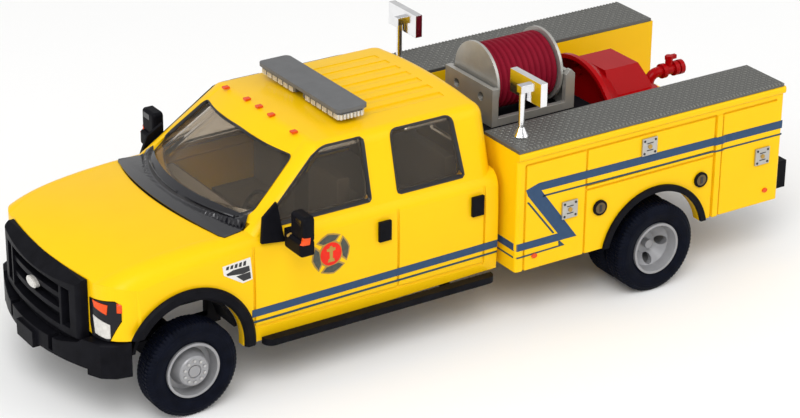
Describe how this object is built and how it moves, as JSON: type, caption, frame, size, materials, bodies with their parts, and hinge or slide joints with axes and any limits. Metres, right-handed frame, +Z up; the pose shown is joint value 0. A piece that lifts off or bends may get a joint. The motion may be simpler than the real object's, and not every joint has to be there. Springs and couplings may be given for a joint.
{
  "type": "brush truck scale model",
  "caption": "Moulded 1:87 model of a crew cab brush truck with a service body, hose reel, pump and rolling wheels.",
  "frame": {"origin": "on the ground under the middle of the overall length and width", "axes": "+X forward, +Y to the truck's left, +Z up"},
  "size_m": [0.0808, 0.0308, 0.0249],
  "materials": {
    "body_yellow": "glossy moulded plastic",
    "black_trim": "satin moulded plastic",
    "smoke_glass": "clear smoked plastic",
    "tyre": "matt",
    "wheel_grey": "silver paint",
    "steel_pin": "drawn wire",
    "interior_grey": "matt moulded plastic",
    "tread_plate": "silver paint over tread",
    "silver": "silver paint",
    "chrome_plate": "vacuum chrome plating",
    "hose_red": "satin",
    "pump_red": "glossy paint",
    "bar_grey": "silver grey paint",
    "amber": "glossy paint",
    "lamp_red": "glossy paint",
    "lamp_black": "glossy moulded plastic"
  },
  "bodies": {
    "truck_body": {"cab_glazing": "smoke_glass", "cab_shell": "body_yellow", "chassis_frame": "black_trim", "compartment_top_left": "tread_plate", "compartment_top_right": "tread_plate", "cowl_panel": "black_trim", "door_handles": "black_trim", "driveline": "black_trim", "exhaust": "black_trim", "front_axle_housing": "black_trim", "front_bumper": "black_trim", "front_flare_left": "black_trim", "front_flare_right": "black_trim", "front_wheelhouses": "black_trim", "fuel_fillers": "black_trim", "fuel_tank": "black_trim", "grille": "black_trim", "headlamps": "lamp_black", "hose_winding": "hose_red", "interior": "interior_grey", "latches_left": "silver", "latches_right": "silver", "light_bar": "bar_grey", "mirror_left": "black_trim", "mirror_right": "black_trim", "pump_manifold": "pump_red", "pump_unit": "pump_red", "rear_arch_trims": "black_trim", "rear_axle_housing": "black_trim", "rear_bumper": "black_trim", "rear_wheelhouses": "black_trim", "reel_frame": "silver", "reel_spool": "silver", "roof_markers": "amber", "running_board_left": "black_trim", "running_board_right": "black_trim", "scene_light_left": "chrome_plate", "scene_light_right": "chrome_plate", "service_body": "body_yellow", "steering_wheel": "black_trim", "tail_lamps": "lamp_red", "water_tank": "black_trim"},
    "front_wheelset": {"front_axle_pin": "steel_pin", "front_rim_left": "wheel_grey", "front_rim_right": "wheel_grey", "front_tyre_left": "tyre", "front_tyre_right": "tyre"},
    "rear_wheelset": {"rear_axle_pin": "steel_pin", "rear_rim_left": "wheel_grey", "rear_rim_right": "wheel_grey", "rear_tyre_inner_left": "tyre", "rear_tyre_inner_right": "tyre", "rear_tyre_outer_left": "tyre", "rear_tyre_outer_right": "tyre"}
  },
  "joints": [
    {"name": "front_axle_spin", "type": "hinge", "parent": "truck_body", "child": "front_wheelset", "pos_m": [0.0295, 0, 0.00467], "axis": [0, 1, 0], "continuous": true},
    {"name": "rear_axle_spin", "type": "hinge", "parent": "truck_body", "child": "rear_wheelset", "pos_m": [-0.0219, 0, 0.00467], "axis": [0, 1, 0], "continuous": true}
  ]
}
